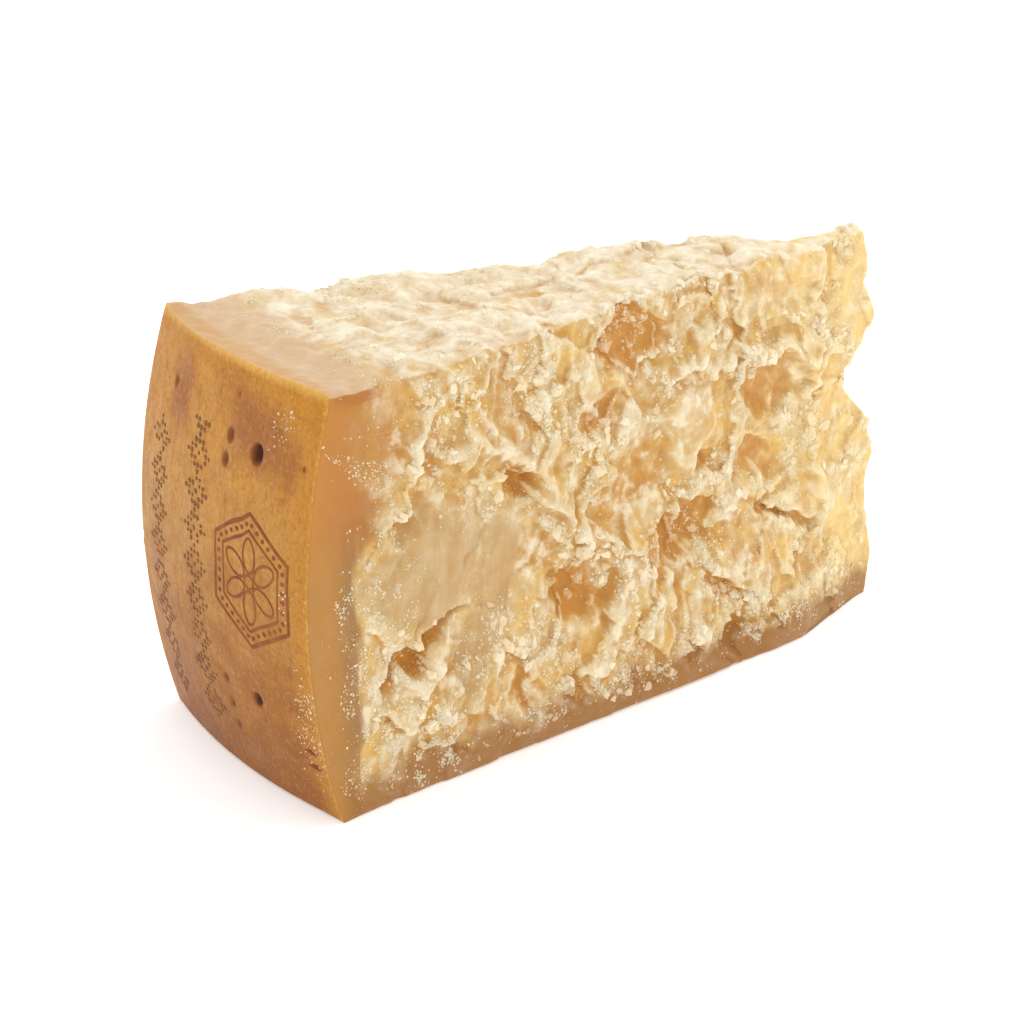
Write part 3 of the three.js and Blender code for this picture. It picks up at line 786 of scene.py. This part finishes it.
PASTE_SIZES = {"cloud": 17.0, "patch": 5.0, "blush": 28.0, "butter": 9.0, "fibres": 3.5, "crumb": 0.9,
               "sand": 0.7}
# hollow and dip deepen and redden the paste's colour in wide and middling hollows: painted shade. The zone
# toward the point pales it: painted light.
PASTE_LEVEL = [("hollow", 0.025), ("dip", 0.1), ("tone", 0.4), ("patch", 0.8), ("cloud", 0.5),
               ("lit_point", -0.1), ("plateau", -0.12)]
PASTE_STOPS = [(0.0, "#efe5ca"), (0.22, "#e4d5b1"), (0.42, "#d8be8e"), (0.60, "#d0a968"),
               (0.78, "#c89146"), (1.0, "#ba752c")]
PASTE_LAYERS = [
    ([("blush", 1.0)], 0.45, 0.7, 0.3, "#d6ac80"),
    # The two butter layers are yellow patches of the paste, spread wider toward the point as painted light.
    ([("butter", 1.0), ("lit_point", 0.1), ("plateau", -0.04)], 0.5, 0.66, 0.7, "#dfb352"),
    ([("butter", 1.0), ("lit_point", 0.25)], 0.68, 0.8, 0.75, "#e9b94c"),
    ([("patch", -1.0), ("butter", -1.0)], -0.94, -0.76, 0.55, "#f1e5c9"),
    # Painted shade: wide hollows, deep hollows and clefts, and the small gaps between grains are coloured
    # deeper orange. Painted light: small ridges are coloured paler cream.
    ([("hollow", 1.0), ("butter", 3.0), ("patch", 4.0)], 4.2, 7.2, 0.75, "#c78832"),
    ([("sunk", 1.0), ("patch", 0.9)], 0.5, 1.4, 0.75, "#c78629"),
    ([("crest", -1.0), ("torn", 0.3)], 0.35, 0.75, 0.4, "#cb9648"),
    ([("crest", 1.0)], 0.05, 0.45, 0.4, "#f3e5c4"),
    # Painted light: the paste pales toward the point.
    ([("lit_point", 1.0), ("patch", -1.0)], -0.4, 0.4, 0.5, "#f8e0a6"),
    ([("slab", 1.0), ("patch", 0.5)], 0.2, 1.2, 0.8, "#c5a675"),
    ([("slab", 1.0), ("fibres", 2.0)], 1.8, 2.3, 0.4, "#c08c50"),
    ([("plateau", 1.0), ("butter", -2.0)], -0.5, 0.3, 0.7, "#f8eed8"),
    ([("band", 1.0), ("fibres", 0.5)], 0.4, 1.1, 0.92, "#9a6d39"),
    ([("amber", 1.0), ("fibres", 0.3)], 0.2, 1.0, 0.85, "#bd7734"),
    ([("rose", 1.0)], 0.0, 1.0, 0.85, "#d6b692"),
    ([("foot", 1.0), ("patch", 0.5)], 0.2, 1.2, 0.88, "#9b6830"),
    ([("edging", 1.0)], 0.0, 1.0, 0.5, "#c98f3c"),
    ([("powder", 0.6), ("crumb", 1.0)], 0.9, 1.1, 0.5, "#f8e9cc"),
    ([("speck", 1.0), ("torn", 0.25)], 0.42, 0.52, 0.5, "#faedd2"),
    ([("pale", 1.0)], 0.2, 1.3, 0.9, "#fdecca"),
]
paste = cheese_finish("aged curd paste", PASTE_SIZES, PASTE_LEVEL, -0.35, PASTE_STOPS, PASTE_LAYERS,
                      shine=(0.38, 0.6, 0.35), glow=0.65, glow_depth=(1.5, 1.45, 1.3),
                      grit=[("sand", 0.2, 0.12, 0.4), ("grain", 0.35, 0.05, 0.6)])

# The rind: dried, oiled and brushed paste, darker and harder, with a low waxy shine. Its colour level
# rises with height: painted shade darkens it toward the foot, and painted light makes it paler and more
# golden toward the top.
rind = cheese_finish(
    "brushed oiled rind", {"mottle": 11.0, "patch": 6.0, "fibres": 1.8, "crumb": 1.4, "sand": 1.2},
    [("height", 0.75 / (HEIGHT * MM)), ("mottle", 0.56)], -0.28,
    [(0.0, "#894c06"), (0.22, "#a36719"), (0.45, "#bd8738"), (0.68, "#c6872e"), (0.9, "#dc9e32")],
    [
        ([("patch", 1.0)], 0.48, 0.72, 0.45, "#a3622a"),
        ([("fibres", 1.0)], 0.52, 0.7, 0.45, "#935424"),
        ([("stain", 1.0), ("patch", 0.5)], 0.3, 1.2, 0.75, "#985726"),
        ([("gold", 1.0), ("mottle", 0.5)], 0.4, 1.2, 0.8, "#be7e1c"),
        ([("sand", 1.0)], 0.5, 0.66, 0.4, "#844e20"),
        ([("crumb", 1.0)], 0.54, 0.68, 0.2, "#deb274"),
        ([("speck", 1.0), ("stain", 0.2)], 0.45, 0.58, 0.55, "#74400f"),
        ([("rim", 1.0), ("crumb", 0.8)], 0.7, 1.35, 0.75, "#e9b75c"),
        # Darker in and around the pits, and darkest at the middles of the deepest.
        ([("pit_darkening", 1.0)], 0.1, 0.5, 0.9, "#8a4a1c"),
        ([("pit_darkening", 1.0)], 0.6, 1.0, 0.9, "#3f1a08"),
        ([("powder", 1.0), ("crumb", 1.0)], 1.0, 1.1, 0.8, "#f3dfc0"),
    ],
    shine=(0.4, 0.56, 0.25), glow=0.1, glow_depth=(1.0, 0.6, 0.3),
    grit=[("sand", 0.3, 0.7, 0.0), ("patch", 1.2, 0.35, 0.0)])


def apply_modifier(kind, **settings):
    """Gives the active object a modifier with these settings, and applies it."""
    modifier = bpy.context.object.modifiers.new(kind, kind)
    for name, value in settings.items():
        setattr(modifier, name, value)
    bpy.ops.object.modifier_apply(modifier=modifier.name)


chunk.data.materials.append(paste)
chunk.data.materials.append(rind)
chunk.data.polygons.foreach_set("material_index", face_is_rind.astype(np.int32))
chunk.data.polygons.foreach_set("use_smooth", np.ones(len(chunk.data.polygons), dtype=bool))
bpy.context.view_layer.objects.active = chunk
apply_modifier("SMOOTH", factor=0.5, iterations=3)
apply_modifier("DECIMATE", ratio=BODY_TRIANGLES / triangles)
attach(chunk, "root")
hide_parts("cheese_chunk")

# ======================================================================= curd grains, flakes and dust
# Splitting a hard cheese leaves its torn faces covered with loose grains of curd, thin flakes that
# stand off the face, and white crumbs. Each kind is one shape, copied, turned and bruised, in one mesh.


def triangles_of(mesh):
    mesh.calc_loop_triangles()
    return values_of(mesh.loop_triangles, "vertices", 3, np.int32)


CORNERS = triangles_of(chunk.data)
POINTS = values_of(chunk.data.vertices, "co", 3)
NORMALS = values_of(chunk.data.vertices, "normal", 3)
BODY_ZONES = {name: values_of(chunk.data.attributes[name].data, "value") for name in ZONES}
EDGE_A, EDGE_B = (POINTS[CORNERS[:, n]] - POINTS[CORNERS[:, 0]] for n in (1, 2))
AREAS = 0.5 * np.linalg.norm(np.cross(EDGE_A, EDGE_B), axis=1)


def take_shape():
    """Keeps the active object's points and triangles as a shape to copy, and removes the object."""
    thing = bpy.context.object
    shape = values_of(thing.data.vertices, "co", 3), triangles_of(thing.data)
    bpy.data.objects.remove(thing)
    return shape


def joined_piece(name, points, faces, material):
    """One mesh of many copies: the points of each copy, and the triangles that they all share."""
    count, each = points.shape[:2]
    every = (faces[None] + (np.arange(count) * each)[:, None, None]).reshape(-1, 3)
    mesh = bpy.data.meshes.new(name)
    mesh.vertices.add(count * each)
    mesh.vertices.foreach_set("co", points.astype(np.float32).ravel())
    mesh.loops.add(every.size)
    mesh.loops.foreach_set("vertex_index", every.astype(np.int32).ravel())
    mesh.polygons.add(len(every))
    mesh.polygons.foreach_set("loop_start", np.arange(0, every.size, 3, dtype=np.int32))
    mesh.update(calc_edges=True)
    mesh.materials.append(material)
    piece = bpy.data.objects.new(name, mesh)
    bpy.context.scene.collection.objects.link(piece)
    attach(piece, "root")
    return piece


def strew(name, template, count, weight, size, stretch, tilt, sink, bruise, pale, rounded, seed,
          groups=None):
    """Joins count copies of a small shape, spread over the body by the weight of each of its points.

    size is the least size in mm, what is added to it at most, and a power that makes large ones rare;
    pale is the least paleness and what is added at most; tilt is how far a copy leans off the face, in
    radians; sink is how deep its middle lies, in sizes; bruise is how uneven each copy is, and points
    of one group are bruised alike."""
    template, faces = template
    groups = np.arange(len(template)) if groups is None else groups
    least, more, power = size
    draw = np.random.default_rng(seed)
    chance = AREAS * weight[CORNERS].mean(axis=1)
    picked = CORNERS[draw.choice(len(CORNERS), count, p=chance / chance.sum())]
    first, second = np.sqrt(draw.random(count)), draw.random(count)
    share = np.stack([1.0 - first, first * (1.0 - second), first * second], axis=1)[..., None]
    middle = (POINTS[picked] * share).sum(axis=1)
    out = (NORMALS[picked] * share).sum(axis=1)
    out /= np.linalg.norm(out, axis=1, keepdims=True)
    lean = draw.normal(size=(count, 3))
    out_leaning = out + np.tan(tilt * draw.random(count))[:, None] * lean / np.linalg.norm(
        lean, axis=1, keepdims=True)
    out_leaning /= np.linalg.norm(out_leaning, axis=1, keepdims=True)
    side = np.cross(out_leaning, draw.normal(size=(count, 3)))
    side /= np.linalg.norm(side, axis=1, keepdims=True)
    turn = np.stack([side, np.cross(out_leaning, side), out_leaning], axis=1)
    grown = MM * (least + more * draw.random(count) ** power)
    uneven = 1.0 + bruise * (2.0 * draw.random((count, groups.max() + 1)) - 1.0)
    shape = template[None] * np.stack([uneven[:, groups]] * 2 + [np.ones((count, len(template)))], axis=-1)
    shape = shape * (1.0 + stretch * (2.0 * draw.random((count, 1, 3)) - 1.0)) * grown[:, None, None]
    spread = np.einsum("nvk,nkj->nvj", shape, turn)
    spread = spread + (middle - out * (sink * grown)[:, None])[:, None, :]
    spread[..., 2] = np.maximum(spread[..., 2], 0.0)
    mesh = joined_piece(name, spread, faces, loose).data
    # Each copy takes the body's zones where it lies, and with them the painted shade of its hollows; its
    # crest is raised a little, which paints it paler, as painted light.
    for zone, values in BODY_ZONES.items():
        carried = (values[picked] * share[..., 0]).sum(axis=1)
        if zone == "pale":
            carried = pale[0] + pale[1] * draw.random(count)
        if zone == "crest":
            carried = carried + 0.15
        add_zone(mesh, zone, np.repeat(carried, len(template)))
    mesh.polygons.foreach_set("use_smooth", np.full(len(mesh.polygons), rounded))


FLAKE_CORNERS = 6
torn_here = np.maximum(1.25 * BODY_ZONES["torn"] - 0.25, 0.0)
crowded = BODY_ZONES["crowd"] ** 2
crested = smooth(-0.4, 0.5, BODY_ZONES["crest"])

# Dry loose curd: the paste once more, chalkier, so that less light sinks in and it glints a little.
loose = cheese_finish("dry loose curd", PASTE_SIZES, PASTE_LEVEL, -0.45, PASTE_STOPS, PASTE_LAYERS,
                      shine=(0.35, 0.55, 0.45), glow=0.35, glow_depth=(0.25, 0.27, 0.3))

bpy.ops.mesh.primitive_ico_sphere_add(subdivisions=1, radius=0.5)
grain_shape = take_shape()
strew("curd_lumps", grain_shape, 5200, torn_here * (0.3 + crested) * (0.06 + crowded),
      size=(1.3, 3.2, 2.8), stretch=0.45, tilt=1.2, sink=0.34, bruise=0.4,
      pale=(0.25, 0.75), rounded=False, seed=21)
strew("curd_grains", grain_shape, 9500,
      torn_here * (0.3 + crested) * (0.1 + crowded) + 0.4 * BODY_ZONES["powder"],
      size=(0.5, 0.8, 2.2), stretch=0.3, tilt=1.2, sink=0.2, bruise=0.35,
      pale=(0.3, 0.8), rounded=True, seed=24)

# A crumb has eight faces: a four-sided cone, open below, and its mirror image.
bpy.ops.mesh.primitive_cone_add(vertices=4, radius1=0.5, radius2=0.0, depth=0.5, end_fill_type="NOTHING",
                                location=(0.0, 0.0, 0.25))
bpy.ops.object.transform_apply(location=True, rotation=True, scale=True)
apply_modifier("MIRROR", use_axis=(False, False, True))
strew("white_crumbs", take_shape(), 24000, BODY_ZONES["powder"] ** 1.3,
      size=(0.28, 0.75, 2.5), stretch=0.3, tilt=1.4, sink=0.1, bruise=0.3,
      pale=(0.7, 0.8), rounded=True, seed=22)

bpy.ops.mesh.primitive_cylinder_add(vertices=FLAKE_CORNERS, radius=0.4, depth=0.11, end_fill_type="TRIFAN")
bpy.ops.object.mode_set(mode="EDIT")
bpy.ops.mesh.select_all(action="SELECT")
bpy.ops.mesh.bisect(plane_co=(0.0, 0.0, 0.0), plane_no=(0.0, 0.0, 1.0))
bpy.ops.transform.resize(value=(1.25, 1.25, 1.0))
bpy.ops.object.mode_set(mode="OBJECT")
flake_shape = take_shape()
flake_angle = np.arctan2(flake_shape[0][:, 1], flake_shape[0][:, 0]) / (2.0 * math.pi / FLAKE_CORNERS)
strew("curd_flakes", flake_shape, 500,
      torn_here ** 3 * (0.1 + crested) * (0.2 + crowded) * (torn_here > 0.75),
      size=(1.4, 2.6, 2), stretch=0.4, tilt=0.5, sink=0.05, bruise=0.45,
      pale=(0.4, 0.8), rounded=False, seed=23, groups=np.rint(flake_angle).astype(int) % FLAKE_CORNERS)

# ======================================================================= pricked bands and burned mark
# The mould's lining pricks bands of pin holes into the young rind, and a hot iron burns a mark between
# them. Both are drawn flat, in millimetres across and up the rind, and then laid on its curve.

PIN_BANDS = [(51.0, 14.0, 106.0), (75.5, 11.0, 99.5)]     # middle across, lowest and highest pin
PIN_ROW = 1.8
PIN_STEP = 1.9
PIN_SINK = 0.16
PINS_MISSED = 0.05                                        # share of the pins that left no hole
LOZENGE_ROWS = 6                                          # a lozenge opens over half of them
MARK_MIDDLE = (23.5, 67.5)
MARK_RADIUS = 19.5
MARK_WIDTH = 0.94                                         # it is a little narrower than high
PETAL = (2.7, 4.9)                                        # half width and half length of a petal
PETAL_REACH = 7.6                                         # its middle lies this far out


def on_the_rind(drawn):
    """Lays flat points on the rind: across from the near edge, height, and how far they stand out."""
    flat = drawn.reshape(-1, 3)
    slid = flat[:, :2] + 0.25 * np.stack([ripple(flat, 13.0, 1.0), ripple(flat, 11.0, 2.0)], axis=-1)
    share = slid[:, 0] / RIND_WIDTH
    place = wedge_place(np.zeros(len(flat)), share, slid[:, 1] / HEIGHT)
    facing = share * WEDGE_ANGLE
    out = np.stack([-np.cos(facing), np.sin(facing), np.zeros(len(flat))], axis=-1)
    place = place + (flat[:, 2] - rind_dip(place))[:, None] * out
    return ((place - LAYOUT_MIDDLE) * MM).reshape(drawn.shape)


# Pricked and burned rind: dry, dark and dull, with no light inside.
pricked = cheese_finish("pricked rind", {"patch": 9.0}, [("patch", 0.9)], 0.05,
                        [(0.3, "#70401a"), (0.7, "#93602e")])
burnt = cheese_finish("burned rind", {"patch": 7.0, "crumb": 1.3}, [("patch", 0.7), ("crumb", 0.3)], 0.0,
                      [(0.35, "#783c14"), (0.65, "#9c5e2c")])

draw = np.random.default_rng(31)
pins = []
for middle, lowest, highest in PIN_BANDS:
    for row in range(int((highest - lowest) / PIN_ROW)):
        opening = LOZENGE_ROWS // 2 - abs(row % LOZENGE_ROWS - LOZENGE_ROWS // 2)
        inner = max(opening - 1, 0)
        columns = {-opening, -inner, inner, opening} | ({0} if opening == LOZENGE_ROWS // 2 else set())
        pins += [(middle + PIN_STEP * column, lowest + PIN_ROW * row) for column in sorted(columns)
                 if draw.random() > PINS_MISSED]
bpy.ops.mesh.primitive_cylinder_add(vertices=8, radius=0.68, depth=0.5, end_fill_type="TRIFAN")
pin_points, pin_faces = take_shape()
pin_faces = pin_faces[:, ::-1]       # the rind's across, up and out mirror x, y and z


def pin_piece(name, spots, widths, material):
    """One mesh of pins sunk into the rind at flat spots, each as wide as its share."""
    copies = pin_points[None] * np.stack([widths, widths, np.ones(len(spots))], axis=-1)[:, None, :]
    copies = copies + np.append(spots, np.full((len(spots), 1), -PIN_SINK), axis=1)[:, None, :]
    joined_piece(name, on_the_rind(copies), pin_faces, material)


pin_piece("pricked_bands", np.array(pins), 0.75 + 0.5 * draw.random(len(pins)), pricked)

# The iron's mark: two hexagons, one inside the other, a row of dots between them, and six petals.
lines = []
for corners_round, radius, width in ((6, MARK_RADIUS, 1.3), (6, 0.76 * MARK_RADIUS, 1.0), (24, 2.0, 0.9)):
    bpy.ops.mesh.primitive_circle_add(vertices=corners_round, radius=radius)
    bpy.ops.object.mode_set(mode="EDIT")
    bpy.ops.mesh.subdivide(number_cuts=96 // corners_round - 1)
    bpy.ops.object.mode_set(mode="OBJECT")
    lines.append((bpy.context.object, width))
for petal in range(6):
    bpy.ops.mesh.primitive_circle_add(vertices=28, radius=1.0)
    outline = bpy.context.object
    outline.scale = (*PETAL, 1.0)
    turn = petal * math.pi / 3.0
    outline.rotation_euler.z = turn
    outline.location = (-PETAL_REACH * math.sin(turn), PETAL_REACH * math.cos(turn), 0.0)
    lines.append((outline, 0.9))
for thing, width in lines:
    bpy.ops.object.select_all(action="DESELECT")
    thing.select_set(True)
    bpy.context.view_layer.objects.active = thing
    bpy.ops.object.transform_apply(location=True, rotation=True, scale=True)
    bpy.ops.object.convert(target="CURVE")
    thing.data.bevel_depth = width / 2.0
    thing.data.bevel_resolution = 0
    bpy.ops.object.convert(target="MESH")
mark = join_things([thing for thing, _ in lines], "burned_mark")
drawn = values_of(mark.data.vertices, "co", 3) * (MARK_WIDTH, 1.0, 0.35) + np.array([*MARK_MIDDLE, 0.0])
mark.data.vertices.foreach_set("co", on_the_rind(drawn).astype(np.float32).ravel())
bpy.ops.object.mode_set(mode="EDIT")
bpy.ops.mesh.select_all(action="SELECT")
bpy.ops.mesh.flip_normals()
bpy.ops.object.mode_set(mode="OBJECT")
mark.data.materials.append(burnt)
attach(mark, "root")

dots = []
for side in range(6):
    start, stop = (np.array([math.sin(turn), math.cos(turn)]) for turn in
                   (side * math.pi / 3.0, (side + 1) * math.pi / 3.0))
    dots += [0.88 * MARK_RADIUS * mix(start, stop, (step + 0.5) / 6.0) for step in range(6)]
dots = np.array(dots) * (MARK_WIDTH, 1.0) + MARK_MIDDLE
pin_piece("burned_dots", dots, np.ones(len(dots)), burnt)

# ======================================================================= stage, lamps and camera
# Not part of the chunk: a pale table, a wide soft lamp above and behind, a white room, and the camera
# a long step away, looking down on the near rind corner.

bpy.ops.mesh.primitive_plane_add(size=8.0, location=(0.0, 0.0, 0.0))
floor = bpy.context.object
floor.name = "floor"
paper = bpy.data.materials.new("white paper")
paper.use_nodes = True
for name, value in (("Base Color", (0.93, 0.93, 0.93, 1.0)), ("Roughness", 0.9),
                    ("Emission Color", (1.0, 1.0, 1.0, 1.0)), ("Emission Strength", 0.32)):
    paper.node_tree.nodes["Principled BSDF"].inputs[name].default_value = value
floor.data.materials.append(paper)

world = bpy.data.worlds.new("white room")
bpy.context.scene.world = world
world.use_nodes = True
world.node_tree.nodes["Background"].inputs["Color"].default_value = (1.0, 1.0, 1.0, 1.0)
world.node_tree.nodes["Background"].inputs["Strength"].default_value = 0.98


def soft_lamp(name, place, target, width, watts):
    lamp = bpy.data.lights.new(name, "AREA")
    lamp.size = width
    lamp.energy = watts
    thing = bpy.data.objects.new(name, lamp)
    bpy.context.scene.collection.objects.link(thing)
    thing.location = place
    thing.rotation_euler = (Vector(target) - Vector(place)).to_track_quat("-Z", "Y").to_euler()


soft_lamp("wide lamp", (0.15, 0.0, 1.1), (0.0, 0.0, 0.05), 1.0, 2.1)
soft_lamp("side lamp", (0.75, -0.6, 0.8), (0.0, 0.0, 0.06), 0.6, 0.9)

CAMERA_PLACE = Vector((-479.5, -509.8, 346.6)) * MM
CAMERA_LOOK = Vector((0.62765, 0.67308, -0.39117))
lens = bpy.data.cameras.new("camera")
lens.sensor_width = 36.0
lens.lens = 87.89
camera = bpy.data.objects.new("camera", lens)
bpy.context.scene.collection.objects.link(camera)
camera.location = CAMERA_PLACE
camera.rotation_euler = CAMERA_LOOK.to_track_quat("-Z", "Y").to_euler()
lens.clip_start = 0.01
bpy.context.scene.camera = camera
bpy.context.scene.view_settings.view_transform = "Standard"
